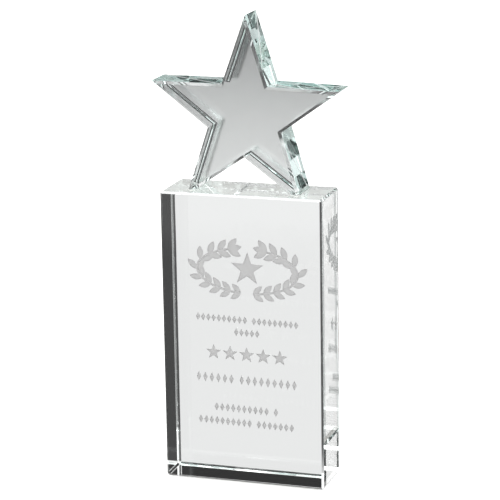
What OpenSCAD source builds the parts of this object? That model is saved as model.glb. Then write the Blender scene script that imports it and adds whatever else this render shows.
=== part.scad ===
// Star trophy: a bevelled crystal star, silvered on its back, standing on two
// ground feet that are bonded to the top of a bevelled crystal column.
//
// The origin is the middle of the column's underside. +Z is up, the engraved
// front faces -Y, and the viewer's right is +X.

/* [Column] */
// Width of the column, left to right
column_width = 80; // [70:1:120]
// Depth of the column, front to back
column_depth = 30; // [25:1:60]
// Height of the column
column_height = 143; // [60:1:240]
// Width of the polished bevel along every edge of the column
column_bevel = 1.0; // [0.5:0.1:3]

/* [Star] */
// Distance from the star's centre to its tips
tip_radius = 48.6; // [40:0.2:52]
// Distance from the star's centre to the notches between its arms
notch_radius = 19.1; // [16:0.2:22]
// Thickness of the star, front to back
star_thickness = 19; // [10:0.5:22]
// Width of the polished bevel around the star's front face
front_bevel = 1.3; // [0.6:0.1:2.5]
// Width of the narrower bevel around the star's silvered back
back_bevel = 0.4; // [0.3:0.1:2.5]
// Height ground off the lower tips to make the feet, before the lean
foot_trim = 3.4; // [2:0.1:6]
// Lean of the star towards +X, as it was set by hand, in degrees
star_lean = 1.2; // [0:0.1:2]

/* [Silver and adhesive] */
// Thickness of the silver film on the back of the star
film_thickness = 0.3; // [0.2:0.05:0.6]
// Height left bare between the silver film and the foot of the star
film_clearance = 0.5; // [0.3:0.1:2]
// Thickness of the clear adhesive under each foot
bond_thickness = 0.2; // [0.15:0.05:0.5]

/* [Hidden] */

arm_count = 5;
half_arm_angle = 180 / arm_count;

// Height at which the star's feet stand on the adhesive
foot_height = column_height + bond_thickness;
// Height of the star's centre above its feet
star_rise = tip_radius * cos(half_arm_angle) - foot_trim;

// Every edge of the outline is this far from the star's centre, so scaling the
// outline about the centre moves all its edges inwards by the same amount.
edge_length = norm([
    tip_radius - notch_radius * cos(half_arm_angle),
    notch_radius * sin(half_arm_angle)
]);
edge_distance = tip_radius * notch_radius * sin(half_arm_angle) / edge_length;
function inset_scale(inset) = 1 - inset / edge_distance;

// A box well clear of the star on every side, used to trim it
reach = 2 * tip_radius + star_thickness;

// Rectangle centred on the origin with its four corners cut at 45 degrees
module cut_rectangle(width, height, cut) {
    x = width / 2;
    y = height / 2;
    polygon([
        [x, y - cut], [x - cut, y], [cut - x, y], [-x, y - cut],
        [-x, cut - y], [cut - x, -y], [x - cut, -y], [x, cut - y]
    ]);
}

// Block standing on z = 0 with the same bevel along all twelve edges
module bevelled_block(width, depth, height, bevel) {
    intersection() {
        linear_extrude(height)
            cut_rectangle(width, depth, bevel);
        translate([0, 0, height / 2])
            rotate([90, 0, 0])
                linear_extrude(depth, center = true)
                    cut_rectangle(width, height, bevel);
        translate([0, 0, height / 2])
            rotate([90, 0, 90])
                linear_extrude(width, center = true)
                    cut_rectangle(depth, height, bevel);
    }
}

// Five-armed outline with one tip straight up
module star_outline() {
    polygon([
        for (i = [0 : 2 * arm_count - 1])
            let (radius = i % 2 == 0 ? tip_radius : notch_radius)
                radius * [-sin(half_arm_angle * i), cos(half_arm_angle * i)]
    ]);
}

// Upright star about its own centre, bevelled front and back, tips untrimmed
module star_blank() {
    rotate([90, 0, 0]) {
        translate([0, 0, back_bevel - star_thickness / 2])
            linear_extrude(star_thickness - front_bevel - back_bevel)
                star_outline();
        translate([0, 0, star_thickness / 2 - front_bevel])
            linear_extrude(front_bevel, scale = inset_scale(front_bevel))
                star_outline();
        translate([0, 0, back_bevel - star_thickness / 2])
            mirror([0, 0, 1])
                linear_extrude(back_bevel, scale = inset_scale(back_bevel))
                    star_outline();
    }
}

// Puts a shape drawn about the star's centre where the star stands
module on_column() {
    translate([0, 0, foot_height])
        rotate([0, star_lean, 0])
            translate([0, 0, star_rise])
                children();
}

// Half space below a height, as a box as large as the star can need
module below(height) {
    translate([-reach / 2, -reach / 2, height - reach])
        cube(reach);
}

// Adhesive under one foot, on the side of -X or +X: it has the foot's outline
module foot_bond(side) {
    intersection() {
        on_column()
            star_blank();
        translate([side * tip_radius / 2, 0, column_height + bond_thickness / 2])
            cube([tip_radius, star_thickness, bond_thickness], center = true);
    }
}

module column() {
    color("gainsboro", 0.6)
        bevelled_block(column_width, column_depth, column_height, column_bevel);
}

module star() {
    color("lightcyan", 0.6)
        difference() {
            on_column()
                star_blank();
            below(foot_height);
        }
}

module silver_backing() {
    color("silver")
        difference() {
            on_column()
                translate([0, star_thickness / 2 + film_thickness, 0])
                    rotate([90, 0, 0])
                        linear_extrude(film_thickness)
                            scale(inset_scale(back_bevel))
                                star_outline();
            below(foot_height + film_clearance);
        }
}

module left_bond() {
    color("whitesmoke")
        foot_bond(-1);
}

module right_bond() {
    color("whitesmoke")
        foot_bond(1);
}

column();
star();
silver_backing();
left_bond();
right_bond();
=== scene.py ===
import bmesh
import bpy
import math
from mathutils import Matrix, Vector


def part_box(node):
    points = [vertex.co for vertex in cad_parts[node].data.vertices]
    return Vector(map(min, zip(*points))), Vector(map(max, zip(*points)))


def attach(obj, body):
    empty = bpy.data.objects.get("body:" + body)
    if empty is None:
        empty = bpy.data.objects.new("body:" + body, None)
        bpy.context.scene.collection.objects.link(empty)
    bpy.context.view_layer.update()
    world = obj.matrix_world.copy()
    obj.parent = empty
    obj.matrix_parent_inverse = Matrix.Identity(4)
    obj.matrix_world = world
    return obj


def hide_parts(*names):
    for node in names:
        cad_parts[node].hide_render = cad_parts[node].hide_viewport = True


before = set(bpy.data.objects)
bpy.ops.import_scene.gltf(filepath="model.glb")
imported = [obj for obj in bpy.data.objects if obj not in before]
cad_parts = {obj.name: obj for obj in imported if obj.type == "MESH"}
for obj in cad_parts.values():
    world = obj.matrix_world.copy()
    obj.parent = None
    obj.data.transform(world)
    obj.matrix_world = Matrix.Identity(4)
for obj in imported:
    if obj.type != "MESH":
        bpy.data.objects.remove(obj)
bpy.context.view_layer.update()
mm = 0.001
print("frame loaded")

# Main camera: it looks down a little on the front and the right side
cameraValues = {
    "azimuth": 17.95,  # degrees round from the front, towards +X
    "elevation": 14.39,  # degrees above the horizon
    "roll": -0.93,
    "distance": 1.0809,
    "target": (-0.0001, 0.0, 0.1130),
    "lens": 162.25,
    "sensor": 36.0,
    "clip": (0.05, 30),
}


def makeCamera(values):
    azimuth = math.radians(values["azimuth"])
    elevation = math.radians(values["elevation"])
    back = Vector((
        math.sin(azimuth) * math.cos(elevation),
        -math.cos(azimuth) * math.cos(elevation),
        math.sin(elevation),
    ))
    right = Vector((math.cos(azimuth), math.sin(azimuth), 0))
    roll = Matrix.Rotation(math.radians(values["roll"]), 3, back)
    axes = Matrix((roll @ right, roll @ back.cross(right), back)).transposed()
    place = Vector(values["target"]) + back * values["distance"]
    data = bpy.data.cameras.new("awardCamera")
    data.lens = values["lens"]
    data.sensor_width = values["sensor"]
    data.clip_start = values["clip"][0]
    data.clip_end = values["clip"][1]
    camera = bpy.data.objects.new("awardCamera", data)
    camera.matrix_world = Matrix.Translation(place) @ axes.to_4x4()
    bpy.context.scene.collection.objects.link(camera)
    bpy.context.scene.camera = camera


makeCamera(cameraValues)
print("camera set")


# One output socket. Arithmetic on it adds Math nodes.
class Wire:
    def __init__(self, graph, socket):
        self.graph = graph
        self.socket = socket

    def __add__(self, other):
        return self.graph.maths("ADD", self, other)

    def __radd__(self, other):
        return self.graph.maths("ADD", other, self)

    def __sub__(self, other):
        return self.graph.maths("SUBTRACT", self, other)

    def __rsub__(self, other):
        return self.graph.maths("SUBTRACT", other, self)

    def __mul__(self, other):
        return self.graph.maths("MULTIPLY", self, other)

    def __rmul__(self, other):
        return self.graph.maths("MULTIPLY", other, self)


# A node tree. Every node is made by node(): type, settings, then sockets.
class Graph:
    def __init__(self, tree):
        self.tree = tree
        tree.nodes.clear()

    def node(self, kind, settings=None, inputs=None, output=0):
        made = self.tree.nodes.new(kind)
        for name, value in (settings or {}).items():
            setattr(made, name, value)
        for name, value in (inputs or {}).items():
            if isinstance(value, Wire):
                self.tree.links.new(value.socket, made.inputs[name])
            elif isinstance(value, list):
                for wire in value:
                    self.tree.links.new(wire.socket, made.inputs[name])
            else:
                made.inputs[name].default_value = value
        outputs = made.outputs
        return Wire(self, outputs[output]) if len(outputs) else made

    def maths(self, operation, *values):
        return self.node("ShaderNodeMath", {"operation": operation}, dict(enumerate(values)))

    def parts(self, vector):
        split = self.node("ShaderNodeSeparateXYZ", {}, {0: vector})
        return [Wire(self, output) for output in split.socket.node.outputs]

    # Rises from 0 at low to 1 at high, and low may be the greater
    def step(self, value, low, high):
        flat = min(low, high), max(low, high)
        rise = self.node("ShaderNodeMapRange", {"interpolation_type": "SMOOTHSTEP"},
                         {"Value": value, "From Min": flat[0], "From Max": flat[1]})
        return rise if low < high else 1 - rise

    # 1 between the two ends and 0 outside them, with soft edges inside the ends
    def span(self, value, ends, soft):
        low, high = ends
        return self.step(value, low, low + soft) * self.step(value, high, high - soft)

    def noise(self, place, scale, detail=2.0, roughness=0.5):
        return self.node("ShaderNodeTexNoise", {"noise_dimensions": "3D"},
                         {"Vector": place, "Scale": scale, "Detail": detail, "Roughness": roughness})

    def stretched(self, place, scale):
        return self.node("ShaderNodeMapping", {}, {"Vector": place, "Scale": scale})

    def mixColour(self, factor, first, second):
        return self.node("ShaderNodeMix", {"data_type": "RGBA"}, {0: factor, 6: first, 7: second}, 2)

    def bump(self, height, strength, distance):
        return self.node("ShaderNodeBump", {},
                         {"Height": height, "Strength": strength, "Distance": distance})

    def objectPlace(self):
        return self.node("ShaderNodeTexCoord", {}, {}, "Object")


def newMaterial(name):
    material = bpy.data.materials.new(name)
    material.use_nodes = True
    return material, Graph(material.node_tree)


# Studio: pale all round and brighter overhead, with soft-edged cards that give the clear
# crystal its dark and pale facets. Most stand where the main camera sees them through the
# glass. A bearing is in degrees clockwise from +Y, seen from above: 90 is +X and 180 is
# the front. A height is in degrees above the horizon.
studioValues = {
    "horizon": 1.0,
    "bands": [  # level, and the heights between which it takes over from the level before
        {"level": 0.885, "from": -9, "to": -11},  # floor, seen through the glass
        {"level": 1.12, "from": -28, "to": -40},  # floor, looking steeply down
        {"level": 1.3, "from": 5, "to": 12},  # walls and ceiling
        {"level": 3.0, "from": 46, "to": 54},  # light overhead
    ],
    "soft": 1.2,  # degrees over which a card's edge fades
}
studioCards = {
    "frontUpper": {"bearing": (156, 194), "height": (7, 28), "level": 0.88},
    "frontPlain": {"bearing": (171, 205), "height": (-14.5, 6), "level": 1.01},
    "frontUpperFar": {"bearing": (168, 180), "height": (19.6, 24), "level": 0.68, "soft": 1.5},
    "behindRight": {"bearing": (8.5, 27), "height": (-27, 4), "level": 0.05},
    "behindRightUpper": {"bearing": (8.5, 27), "height": (10, 24), "level": 0.02},
    "behindStarWall": {"bearing": (-2.5, 4), "height": (-25, -13), "level": 0.05},
    "backGap": {"bearing": (-25, -12), "height": (11.9, 13.5), "level": 0.75, "soft": 0.1},
    "backRail": {"bearing": (-25, 5), "height": (4.5, 12.4), "level": 0.03, "soft": 0.3},
    "backRailUpper": {"bearing": (-25, -13), "height": (13.15, 23), "level": 0.015, "soft": 0.2},
    "behindStarEdge": {"bearing": (-7, 4), "height": (8, 18), "level": 0.01},
    "leftCard": {"bearing": (-54, -42), "height": (-20.5, -9), "level": 0.10},
    "leftFar": {"bearing": (-81, -56), "height": (-26, 5), "level": 0.20},
    "leftBack": {"bearing": (234, 256), "height": (-12, 8), "level": 0.20},
    "rightFar": {"bearing": (66, 117), "height": (-20, 4), "level": 0.32},
    "rightUpper": {"bearing": (98, 117), "height": (0, 12), "level": 0.03},
    "frontRight": {"bearing": (117, 129), "height": (-5, 14), "level": 0.06},
    "frontRightNear": {"bearing": (141.5, 151), "height": (-16, -8), "level": 0.08},
    "frontDeep": {"bearing": (147, 161), "height": (-51, -36), "level": 0.05},
    "frontHigh": {"bearing": (162, 180), "height": (41, 52), "level": 0.30},
    "frontLeftHigh": {"bearing": (205, 228), "height": (43, 57), "level": 0.12},
    "leftHigh": {"bearing": (228, 247), "height": (30, 41), "level": 0.12},
    "starLeftEdge": {"bearing": (157, 170.6), "height": (-33, -12), "level": 0.04, "soft": 0.6},
    "frontRightUpper": {"bearing": (150, 168), "height": (14, 26), "level": 0.25},
    "topArm": {"bearing": (169.8, 176), "height": (-20, -16), "level": 0.34, "soft": 0.4},
    "frontLeft": {"bearing": (205, 237), "height": (1, 28), "level": 0.02},
    "frontLeftUpper": {"bearing": (190, 206), "height": (15, 25), "level": 0.10},
    "frontLeftLow": {"bearing": (218, 237), "height": (-26, 1), "level": 0.03},
    "frontLow": {"bearing": (184, 204), "height": (-36, -24.5), "level": 0.05},
    "frontShade": {"bearing": (184, 204), "height": (-24.5, -13.6), "level": 0.46},
}


def makeStudio(values, cards):
    world = bpy.data.worlds.new("softStudio")
    bpy.context.scene.world = world
    world.use_nodes = True
    graph = Graph(world.node_tree)
    towards = graph.node("ShaderNodeTexCoord", {}, {}, "Generated")
    x, y, z = graph.parts(towards)
    degrees = 180 / math.pi
    height = graph.maths("ARCSINE", z) * degrees
    bearing = graph.maths("WRAP", graph.maths("ARCTAN2", x, y) * degrees, 270.0, -90.0)

    def blend(level, mask, other):
        return level + (other - level) * mask

    level = values["horizon"]
    for band in values["bands"]:
        level = blend(level, graph.step(height, band["from"], band["to"]), band["level"])
    for card in cards.values():
        soft = card.get("soft", values["soft"])
        sideSoft = min(soft, values["soft"])
        mask = graph.span(bearing, card["bearing"], sideSoft) * graph.span(height, card["height"], soft)
        level = blend(level, mask, card["level"])
    back = graph.node("ShaderNodeBackground", {}, {"Color": level, "Strength": 1.0})
    graph.node("ShaderNodeOutputWorld", {}, {"Surface": back})
    bpy.context.scene.view_settings.view_transform = "Standard"


def flatSheet(name, corners):
    mesh = bpy.data.meshes.new(name)
    mesh.from_pydata(corners, [], [(0, 1, 2, 3)])
    sheet = bpy.data.objects.new(name, mesh)
    bpy.context.scene.collection.objects.link(sheet)
    return sheet


floorValues = {"half": 4.5, "gap": 0.3 * mm, "colour": (0.9, 0.9, 0.895, 1), "roughness": 0.9}


def makeFloor(values):
    half = values["half"]
    corners = [(-half, -half), (half, -half), (half, half), (-half, half)]
    floor = flatSheet("paleFloor", [(x, y, -values["gap"]) for x, y in corners])
    material, graph = newMaterial("palePaper")
    shader = graph.node("ShaderNodeBsdfPrincipled", {}, {
        "Base Color": values["colour"],
        "Roughness": values["roughness"],
    })
    graph.node("ShaderNodeOutputMaterial", {}, {"Surface": shader})
    floor.data.materials.append(material)
    floor.visible_glossy = False
    floor.visible_transmission = False


# Two white reflectors that show only through the glass: one under the column, and one
# behind it to the left, which is seen in its right side
reflectorValues = {
    "underLevel": 0.78,
    "underColour": (1.0, 0.975, 0.945, 1),
    "underGap": 0.15 * mm,
    "underMargin": 3 * mm,
    "sideLevel": 1.46,
    "sideColour": (1.0, 0.975, 0.975, 1),
    "sideOut": 8 * mm,
    "sideFrom": 4.5 * mm,  # behind the column's back
    "sideTo": 24 * mm,
    "sideDrop": 14 * mm,
}


def makeReflectors(values):
    low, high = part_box("column")
    margin = values["underMargin"]
    x0, x1, y0, y1 = low.x - margin, high.x + margin, low.y - margin, high.y + margin
    under = [(x, y, -values["underGap"]) for x, y in ((x0, y0), (x1, y0), (x1, y1), (x0, y1))]
    x = low.x - values["sideOut"]
    y0, y1 = high.y + values["sideFrom"], high.y + values["sideTo"]
    side = [(x, y0, -values["sideDrop"]), (x, y1, -values["sideDrop"]), (x, y1, high.z), (x, y0, high.z)]
    for name, corners in (("under", under), ("side", side)):
        sheet = flatSheet(name + "Reflector", corners)
        material, graph = newMaterial(name + "White")
        glow = graph.node("ShaderNodeEmission", {}, {
            "Color": values[name + "Colour"],
            "Strength": values[name + "Level"],
        })
        graph.node("ShaderNodeOutputMaterial", {}, {"Surface": glow})
        sheet.data.materials.append(material)
        sheet.visible_camera = False
        sheet.visible_diffuse = False
        sheet.visible_shadow = False


makeStudio(studioValues, studioCards)
makeFloor(floorValues)
makeReflectors(reflectorValues)
print("studio and floor made")


# Crystal: clear, very slightly green, with faint polishing waves and wipe marks
crystalValues = {
    "ior": 1.52,
    "tint": (0.962, 0.966, 0.964, 1),
    "depthTint": (0.70, 0.95, 0.90, 1),
    "depthDensity": 1.0,
    "waveScale": 45,
    "waveBump": 0.2,
    "smearScale": 60,
    "wipe": 0.012,  # roughness where it was wiped
}
# The star is greener than the column
starCrystalValues = {**crystalValues, "depthTint": (0.50, 0.90, 0.84, 1), "depthDensity": 4.0}


def makeCrystal(name, values):
    material, graph = newMaterial(name)
    place = graph.objectPlace()
    wave = graph.noise(place, values["waveScale"], 1)
    smear = graph.noise(graph.stretched(place, (1, 1, 0.25)), values["smearScale"], 4)
    shader = graph.node("ShaderNodeBsdfPrincipled", {}, {
        "Base Color": values["tint"],
        "Roughness": values["wipe"] * graph.step(smear, 0.5, 0.75),
        "IOR": values["ior"],
        "Transmission Weight": 1.0,
        "Normal": graph.bump(wave, values["waveBump"], 0.1 * mm),
    })
    depth = graph.node("ShaderNodeVolumeAbsorption", {}, {
        "Color": values["depthTint"],
        "Density": values["depthDensity"],
    })
    graph.node("ShaderNodeOutputMaterial", {}, {"Surface": shader, "Volume": depth})
    return material


# Frosted cuts: painted shade makes them grey from outside, and painted light makes them white where they are
# met from inside the crystal
frostValues = {
    "ior": 1.52,
    # outer is painted shade and inner is painted light: one frost, coloured by which side it is seen from
    "outer": (0.42, 0.42, 0.42, 1),
    "inner": (0.97, 0.97, 0.97, 1),
    "clear": 0.3,  # share of the light that goes through
    "roughness": 0.5,
    "patchy": 0.15,
    "patchScale": 700,
    "gritScale": 9000,
}


def makeFrost(values):
    material, graph = newMaterial("frostedCutPaintedShadeAndLight")
    place = graph.objectPlace()
    grit = graph.noise(place, values["gritScale"], 3)
    patch = graph.noise(place, values["patchScale"], 2)
    # painted shade and light: the colour is picked by which side of the face is seen
    inside = graph.node("ShaderNodeNewGeometry", {}, {}, "Backfacing")
    shader = graph.node("ShaderNodeBsdfPrincipled", {}, {
        "Base Color": graph.mixColour(inside, values["outer"], values["inner"]),
        "Roughness": values["roughness"] + values["patchy"] * (patch - 0.5),
        "IOR": values["ior"],
        "Transmission Weight": values["clear"],
        "Normal": graph.bump(grit, 0.5, 0.03 * mm),
    })
    graph.node("ShaderNodeOutputMaterial", {}, {"Surface": shader})
    return material


# Silver, as it shows through the star: satin, with painted shade towards the top and painted light towards
# the foot, standing in for the reflections in it
silverValues = {
    # painted light at the foot and painted shade at the tip
    "foot": (0.995, 0.95, 0.955, 1),
    "tip": (0.36, 0.345, 0.35, 1),
    "reach": 9 * mm,  # how far the painted shade and light run on past the film's ends
    "roughness": 0.2,
    "streaky": 0.03,
    "streakScale": 900,
}


def makeSilver(values):
    material, graph = newMaterial("satinSilverPaintedShade")
    place = graph.objectPlace()
    streak = graph.noise(graph.stretched(place, (1, 1, 0.08)), values["streakScale"], 3)
    low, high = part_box("silver_backing")
    # painted shade: the colour darkens with height from foot to tip
    rise = graph.step(graph.parts(place)[2], low.z - values["reach"], high.z + values["reach"])
    shader = graph.node("ShaderNodeBsdfPrincipled", {}, {
        "Base Color": graph.mixColour(rise, values["foot"], values["tip"]),
        "Metallic": 1.0,
        "Roughness": values["roughness"] + values["streaky"] * streak,
        "Normal": graph.bump(streak, 0.05, 0.02 * mm),
    })
    graph.node("ShaderNodeOutputMaterial", {}, {"Surface": shader})
    return material


# Grey coat over the back of the silver
sealValues = {
    "colour": (0.56, 0.57, 0.58, 1),
    "speck": (0.50, 0.51, 0.52, 1),
    "metal": 0.85,
    "roughness": 0.38,
    "cloudy": 0.12,
    "cloudScale": 70,
    "peelScale": 900,
}


def makeSeal(values):
    material, graph = newMaterial("sealedSilver")
    place = graph.objectPlace()
    peel = graph.noise(place, values["peelScale"], 3)
    cloud = graph.noise(place, values["cloudScale"], 4)
    shader = graph.node("ShaderNodeBsdfPrincipled", {}, {
        "Base Color": graph.mixColour(cloud, values["colour"], values["speck"]),
        "Metallic": values["metal"],
        "Roughness": values["roughness"] + values["cloudy"] * (cloud - 0.5),
        "Normal": graph.bump(peel, 0.12, 0.05 * mm),
    })
    graph.node("ShaderNodeOutputMaterial", {}, {"Surface": shader})
    return material


# Painted shade: a near-black rim round the silver, standing in for the dark line that the crystal's edge
# shows there
paintedShadeRimValues = {
    "colour": (0.018, 0.022, 0.022, 1),
    "fleck": (0.035, 0.040, 0.040, 1),
    "roughness": 0.35,
    "cloudy": 0.1,
    "cloudScale": 1200,
}


def makePaintedShadeRim(values):
    material, graph = newMaterial("paintedShadeRim")
    cloud = graph.noise(graph.objectPlace(), values["cloudScale"], 3)
    shader = graph.node("ShaderNodeBsdfPrincipled", {}, {
        "Base Color": graph.mixColour(cloud, values["colour"], values["fleck"]),
        "Roughness": values["roughness"] + values["cloudy"] * (cloud - 0.5),
        "Normal": graph.bump(cloud, 0.1, 0.03 * mm),
    })
    graph.node("ShaderNodeOutputMaterial", {}, {"Surface": shader})
    return material


adhesiveValues = {
    "ior": 1.50,
    "colour": (0.95, 0.955, 0.93, 1),
    "roughness": 0.04,
    "cloudy": 0.1,
    "cureScale": 1500,
}


def makeAdhesive(values):
    material, graph = newMaterial("clearAdhesive")
    cure = graph.noise(graph.objectPlace(), values["cureScale"], 3)
    shader = graph.node("ShaderNodeBsdfPrincipled", {}, {
        "Base Color": values["colour"],
        "Roughness": values["roughness"] + values["cloudy"] * graph.step(cure, 0.55, 0.75),
        "IOR": values["ior"],
        "Transmission Weight": 1.0,
        "Normal": graph.bump(cure, 0.1, 0.05 * mm),
    })
    graph.node("ShaderNodeOutputMaterial", {}, {"Surface": shader})
    return material


clearCrystal = makeCrystal("clearCrystal", crystalValues)
starCrystal = makeCrystal("starCrystal", starCrystalValues)
frostedCutPaintedShadeAndLight = makeFrost(frostValues)
satinSilverPaintedShade = makeSilver(silverValues)
sealedSilver = makeSeal(sealValues)
paintedShadeRim = makePaintedShadeRim(paintedShadeRimValues)
clearAdhesive = makeAdhesive(adhesiveValues)
print("materials made")


def newPiece(name, mesh, *materials):
    mesh.materials.clear()
    for material in materials:
        mesh.materials.append(material)
    piece = bpy.data.objects.new(name, mesh)
    bpy.context.scene.collection.objects.link(piece)
    return piece


# Turns what the modifiers show into the piece's own mesh and takes them off
def frozen(piece):
    shown = piece.evaluated_get(bpy.context.evaluated_depsgraph_get())
    mesh = bpy.data.meshes.new_from_object(shown)
    piece.modifiers.clear()
    piece.data = mesh
    return piece


# A copy of a CAD node's mesh with its loose triangles joined into whole flat faces
def cleanCopy(node):
    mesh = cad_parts[node].data.copy()
    work = bmesh.new()
    work.from_mesh(mesh)
    bmesh.ops.remove_doubles(work, verts=work.verts, dist=0.002 * mm)
    bmesh.ops.dissolve_limit(work, angle_limit=math.radians(0.2), verts=work.verts, edges=work.edges)
    for face in work.faces:
        face.smooth = False
    work.to_mesh(mesh)
    work.free()
    return mesh


# Rounds every arris by a hair, as polishing does
def softenArrises(piece, width):
    bevel = piece.modifiers.new("arris", "BEVEL")
    bevel.width = width
    bevel.segments = 2
    bevel.limit_method = "ANGLE"
    bevel.angle_limit = math.radians(20)
    bevel.harden_normals = False
    return frozen(piece)


def newTree(name, inputs):
    tree = bpy.data.node_groups.new(name, "GeometryNodeTree")
    for label, kind in inputs.items():
        tree.interface.new_socket(name=label, in_out="INPUT", socket_type=kind)
    tree.interface.new_socket(name="Geometry", in_out="OUTPUT", socket_type="NodeSocketGeometry")
    return tree, Graph(tree)


def grow(piece, tree, values):
    modifier = piece.modifiers.new(tree.name, "NODES")
    modifier.node_group = tree
    for item in tree.interface.items_tree:
        if item.item_type == "SOCKET" and item.in_out == "INPUT" and item.name in values:
            modifier[item.identifier] = values[item.name]
    return frozen(piece)


# Engraving, drawn on a sheet with X to the right, Y up and Z out of the glass
engravingValues = {
    "shift": 2.3 * mm,  # towards +X
    "tilt": 1.3,  # degrees clockwise
    "depth": 0.35 * mm,
    "proud": 0.4 * mm,  # how far the cutters stand out of the glass before they are taken away
}

wreathValues = {
    "height": 106.4 * mm,
    "Half Width": 25.0 * mm,
    "Half Height": 11.0 * mm,
    "Sweep": math.radians(150),
    "Start": math.radians(7),
    "Leaves": 10,
    "Leaf Length": 7.2 * mm,
    "Leaf Width": 3.3 * mm,
    "Stem Width": 1.1 * mm,
    "Splay": math.radians(38),
    "leafScale": (0.85, 0.15),  # at the foot of the branch, and what is added by its tip
    "starRadius": 8.4 * mm,
    "starInner": 0.4,
    "starRise": 1.0 * mm,
}


def wreathTree(values):
    numbers = ["Half Width", "Half Height", "Start", "Sweep", "Leaf Length", "Leaf Width",
               "Stem Width", "Splay", "Thickness"]
    sockets = {label: "NodeSocketFloat" for label in numbers}
    tree, graph = newTree("laurelBranches", {**sockets, "Leaves": "NodeSocketInt"})
    given = graph.node("NodeGroupInput").socket.node.outputs
    value = {label: Wire(graph, given[label]) for label in [*sockets, "Leaves"]}

    blank = graph.node("GeometryNodeMeshCylinder", {},
                       {"Vertices": 16, "Radius": 1.0, "Depth": value["Thickness"]})
    place = graph.node("GeometryNodeInputPosition")
    along, across, up = graph.parts(place)
    leafShape = graph.node("ShaderNodeCombineXYZ", {}, {
        "X": (along + 1) * value["Leaf Length"] * 0.5,
        "Y": across * graph.maths("ABSOLUTE", across) * value["Leaf Width"] * 0.5,
        "Z": up,
    })
    leaf = graph.node("GeometryNodeSetPosition", {}, {"Geometry": blank, "Position": leafShape})
    size = graph.node("ShaderNodeCombineXYZ", {},
                      {"X": value["Half Width"], "Y": value["Half Height"], "Z": 1.0})
    rule = graph.node("GeometryNodeCurvePrimitiveQuadrilateral", {},
                      {"Width": value["Stem Width"], "Height": value["Thickness"]})
    first, added = values["leafScale"]
    branches = []
    for side in (1, -1):
        arc = graph.node("GeometryNodeCurveArc", {}, {
            "Resolution": 64,
            "Radius": 1.0,
            "Start Angle": side * value["Start"] - math.pi / 2,
            "Sweep Angle": side * value["Sweep"],
        })
        stem = graph.node("GeometryNodeTransform", {}, {"Geometry": arc, "Scale": size})
        branches.append(graph.node("GeometryNodeCurveToMesh", {},
                                   {"Curve": stem, "Profile Curve": rule, "Fill Caps": True}))
        spots = graph.node("GeometryNodeResampleCurve", {}, {"Curve": stem, "Count": value["Leaves"]})
        ahead = graph.node("FunctionNodeAlignRotationToVector", {"axis": "X", "pivot_axis": "Z"},
                           {"Vector": graph.node("GeometryNodeInputTangent")})
        share = graph.node("GeometryNodeSplineParameter")
        for turn in (1, -1, 0):
            picked = {"Points": spots, "Instance": leaf, "Rotation": ahead, "Scale": first + added * share}
            if turn == 0:  # one leaf at the tip, straight on
                picked["Selection"] = graph.node("GeometryNodeCurveEndpointSelection", {},
                                                 {"Start Size": 0, "End Size": 1})
            leaves = graph.node("GeometryNodeInstanceOnPoints", {}, picked)
            splay = graph.node("ShaderNodeCombineXYZ", {}, {"Z": turn * value["Splay"]})
            branches.append(graph.node("GeometryNodeRotateInstances", {},
                                       {"Instances": leaves, "Rotation": splay}))
    joined = graph.node("GeometryNodeJoinGeometry", {}, {"Geometry": branches})
    real = graph.node("GeometryNodeRealizeInstances", {}, {"Geometry": joined})
    cut = graph.node("GeometryNodeSetMaterial", {}, {"Geometry": real, "Material": frostedCutPaintedShadeAndLight})
    graph.node("NodeGroupOutput", {}, {"Geometry": cut})
    return tree


# Rows of small lozenges under the wreath: "groups" counts those in each group, and "cut"
# is how tall they are
rowValues = {
    "pitch": 2.62 * mm,
    "gap": 1.9 * mm,  # added between groups
    "width": 2.2 * mm,
    "rows": [
        {"height": 82.1 * mm, "groups": (10, 9), "cut": 3.7 * mm},
        {"height": 75.9 * mm, "groups": (5,), "cut": 3.7 * mm},
        {"height": 52.1 * mm, "groups": (6, 9), "cut": 4.8 * mm, "pitch": 3.3 * mm},
        {"height": 37.5 * mm, "groups": (10, 1), "cut": 4.1 * mm, "pitch": 2.8 * mm},
        {"height": 30.5 * mm, "groups": (10, 7), "cut": 4.1 * mm, "pitch": 2.75 * mm},
    ],
}

starRowValues = {
    "height": 64.9 * mm,
    "count": 5,
    "pitch": 8.3 * mm,
    "radius": 3.9 * mm,
    "inner": 0.42,
}


def repeatTree():
    sockets = {"Geometry": "NodeSocketGeometry", "Mark": "NodeSocketObject"}
    tree, graph = newTree("repeatedMark", sockets)
    given = graph.node("NodeGroupInput").socket.node.outputs
    mark = graph.node("GeometryNodeObjectInfo", {"transform_space": "ORIGINAL"},
                      {"Object": Wire(graph, given["Mark"])}, "Geometry")
    spots = graph.node("GeometryNodeMeshToPoints", {}, {"Mesh": Wire(graph, given["Geometry"])})
    length = graph.node("GeometryNodeInputNamedAttribute", {"data_type": "FLOAT"}, {"Name": "cutLength"})
    size = graph.node("ShaderNodeCombineXYZ", {}, {"X": 1.0, "Y": length, "Z": 1.0})
    laid = graph.node("GeometryNodeInstanceOnPoints", {}, {"Points": spots, "Instance": mark, "Scale": size})
    real = graph.node("GeometryNodeRealizeInstances", {}, {"Geometry": laid})
    cut = graph.node("GeometryNodeSetMaterial", {}, {"Geometry": real, "Material": frostedCutPaintedShadeAndLight})
    graph.node("NodeGroupOutput", {}, {"Geometry": cut})
    return tree


def ring(count, radius, inner=1.0, start=90.0):
    angles = [math.radians(start + 360 * i / count) for i in range(count)]
    sizes = [radius if i % 2 == 0 else radius * inner for i in range(count)]
    return [(size * math.cos(angle), size * math.sin(angle)) for size, angle in zip(sizes, angles)]


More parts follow.
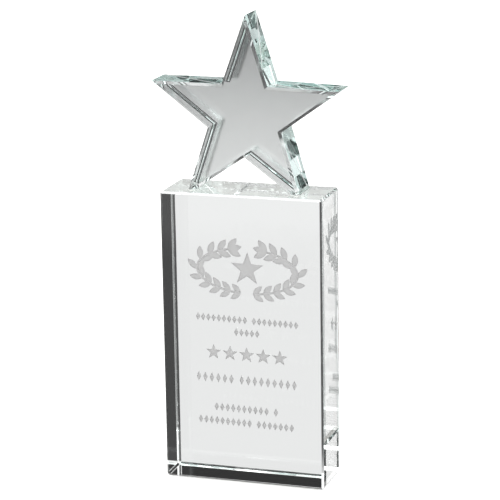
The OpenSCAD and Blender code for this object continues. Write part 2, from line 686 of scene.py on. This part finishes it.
# A flat outline given thickness
def prism(name, outline, low, high):
    count = len(outline)
    points = [(x, y, z) for z in (low, high) for x, y in outline]
    faces = [tuple(reversed(range(count))), tuple(range(count, 2 * count))]
    for i in range(count):
        j = (i + 1) % count
        faces.append((i, j, count + j, count + i))
    mesh = bpy.data.meshes.new(name)
    mesh.from_pydata(points, [], faces)
    return newPiece(name, mesh, frostedCutPaintedShadeAndLight)


def spotMesh(name, spots):
    mesh = bpy.data.meshes.new(name)
    mesh.from_pydata([(x, y, 0) for x, y, length in spots], [], [])
    lengths = mesh.attributes.new("cutLength", "FLOAT", "POINT")
    lengths.data.foreach_set("value", [length for x, y, length in spots])
    return newPiece(name, mesh, frostedCutPaintedShadeAndLight)


def rowSpots(values):
    spots = []
    for row in values["rows"]:
        pitch = row.get("pitch", values["pitch"])
        steps = sum(row["groups"]) - 1
        x = -(steps * pitch + (len(row["groups"]) - 1) * values["gap"]) / 2
        for group in row["groups"]:
            for i in range(group):
                spots.append((x, row["height"], row["cut"]))
                x += pitch
            x += values["gap"]
    return spots


def makeCutters():
    low = -engravingValues["depth"]
    high = engravingValues["proud"]
    thickness = high - low
    branches = newPiece("branches", bpy.data.meshes.new("branches"), frostedCutPaintedShadeAndLight)
    grow(branches, wreathTree(wreathValues), {**wreathValues, "Thickness": thickness})
    lift = Matrix.Translation((0, wreathValues["height"], (low + high) / 2))
    branches.data.transform(lift)

    emblem = prism("emblem", ring(10, wreathValues["starRadius"], wreathValues["starInner"]), low, high)
    rise = wreathValues["height"] + wreathValues["starRise"]
    emblem.data.transform(Matrix.Translation((0, rise, 0)))

    repeated = repeatTree()
    lozenge = prism("lozenge", ring(4, 0.5), low, high)
    lozenge.data.transform(Matrix.Diagonal((rowValues["width"], 1, 1, 1)))
    marks = spotMesh("marks", rowSpots(rowValues))
    grow(marks, repeated, {"Mark": lozenge})

    outer = ring(10, starRowValues["radius"], starRowValues["inner"])
    smallStar = prism("smallStar", outer, low, high)
    middle = (starRowValues["count"] - 1) / 2
    spots = [((i - middle) * starRowValues["pitch"], starRowValues["height"], 1.0)
             for i in range(starRowValues["count"])]
    starRow = spotMesh("starRow", spots)
    grow(starRow, repeated, {"Mark": smallStar})
    for used in (lozenge, smallStar):
        bpy.data.objects.remove(used)
    return [branches, emblem, marks, starRow]


# Stands the drawing up on the front face of the column, turned about its middle
def placeOnFront(cutter):
    low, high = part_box("column")
    middle = (low.z + high.z) / 2
    turn = Matrix.Rotation(-math.radians(engravingValues["tilt"]), 4, "Z")
    pivot = Matrix.Translation((0, middle, 0))
    upright = Matrix.Rotation(math.pi / 2, 4, "X")
    shift = Matrix.Translation((engravingValues["shift"], low.y, 0))
    cutter.data.transform(shift @ upright @ pivot @ turn @ pivot.inverted())


columnValues = {"arris": 0.12 * mm}


def makeColumn(values):
    column = newPiece("crystalColumn", cleanCopy("column"), clearCrystal, frostedCutPaintedShadeAndLight)
    softenArrises(column, values["arris"])
    for cutter in makeCutters():
        placeOnFront(cutter)
        cut = column.modifiers.new("engraving", "BOOLEAN")
        cut.operation = "DIFFERENCE"
        cut.solver = "EXACT"
        cut.use_self = True
        cut.material_mode = "TRANSFER"
        cut.object = cutter
        frozen(column)
        bpy.data.objects.remove(cutter)
    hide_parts("column")
    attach(column, "root")


makeColumn(columnValues)
print("column engraved")


starValues = {"arris": 0.10 * mm}


def makeStar(values):
    star = newPiece("crystalStar", cleanCopy("star"), starCrystal)
    softenArrises(star, values["arris"])
    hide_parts("star")
    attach(star, "root")


makeStar(starValues)
print("star made")


filmValues = {
    "gap": 0.02 * mm,  # kept from the crystal, so that the two faces don't fight
    "edge": 0.08 * mm,
    # width of the painted shade rim
    "rim": 0.6 * mm,
}


# Parts a narrow rim from the rest of the film's front and gives it the third material, the painted shade rim
def insetRim(film, width):
    work = bmesh.new()
    work.from_mesh(film.data)
    front = [face for face in work.faces if face.normal.y < -0.9]
    rim = bmesh.ops.inset_region(work, faces=front, thickness=width, use_even_offset=True)
    for face in rim["faces"]:
        face.material_index = 2
    work.to_mesh(film.data)
    work.free()


def makeFilm(values):
    film = newPiece("silverFilm", cleanCopy("silver_backing"), satinSilverPaintedShade, sealedSilver, paintedShadeRim)
    insetRim(film, values["rim"])
    softenArrises(film, values["edge"])
    low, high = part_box("silver_backing")
    for vertex in film.data.vertices:
        if vertex.co.y < low.y + values["gap"]:
            vertex.co.y = low.y + values["gap"]
    for face in film.data.polygons:
        if face.normal.y > -0.9:
            face.material_index = 1
    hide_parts("silver_backing")
    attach(film, "root")


makeFilm(filmValues)
print("silver film made")


# The adhesive reaches a little into both pieces of crystal, so that light crosses the
# joint, and has a small bead squeezed out round the foot
bondValues = {
    "overlap": 0.02 * mm,
    "bead": [(0.42, 0.0), (0.30, 0.06), (0.17, 0.16), (0.08, 0.28), (0.02, 0.42)],  # mm out, mm up
}


# Corners of the adhesive's upper face, in order round it
def footOutline(node):
    low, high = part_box(node)
    points = {(round(v.co.x, 6), round(v.co.y, 6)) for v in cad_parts[node].data.vertices
              if v.co.z > high.z - 0.01 * mm}
    middle = Vector((sum(p[0] for p in points), sum(p[1] for p in points))) / len(points)
    return sorted(points, key=lambda p: math.atan2(p[1] - middle.y, p[0] - middle.x))


# The outline moved outwards by an amount, with its corners kept
def widened(outline, amount):
    made = []
    count = len(outline)
    for i, point in enumerate(outline):
        here = Vector(point)
        before = (here - Vector(outline[i - 1])).normalized()
        after = (Vector(outline[(i + 1) % count]) - here).normalized()
        normals = Vector((before.y, -before.x)), Vector((after.y, -after.x))
        bisector = (normals[0] + normals[1]).normalized()
        made.append(here + bisector * amount / max(bisector.dot(normals[0]), 0.3))
    return made


def makeBond(name, node, values):
    low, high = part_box(node)
    outline = footOutline(node)
    rings = [(values["bead"][0][0] * mm, low.z - values["overlap"])]
    rings += [(out * mm, low.z + up * mm) for out, up in values["bead"]]
    points = []
    for out, z in rings:
        points += [(p.x, p.y, z) for p in widened(outline, out)]
    count = len(outline)
    faces = [tuple(reversed(range(count)))]
    for layer in range(len(rings) - 1):
        base = layer * count
        for i in range(count):
            j = (i + 1) % count
            faces.append((base + i, base + j, base + count + j, base + count + i))
    faces.append(tuple(range(len(points) - count, len(points))))
    mesh = bpy.data.meshes.new(name)
    mesh.from_pydata(points, [], faces)
    bond = newPiece(name, mesh, clearAdhesive)
    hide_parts(node)
    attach(bond, "root")


makeBond("leftBond", "left_bond", bondValues)
makeBond("rightBond", "right_bond", bondValues)
print("bonds made")

# Light crosses many faces inside the crystal before it comes out
paths = bpy.context.scene.cycles
paths.max_bounces = 32
paths.transmission_bounces = 32
paths.glossy_bounces = 24
paths.diffuse_bounces = 4
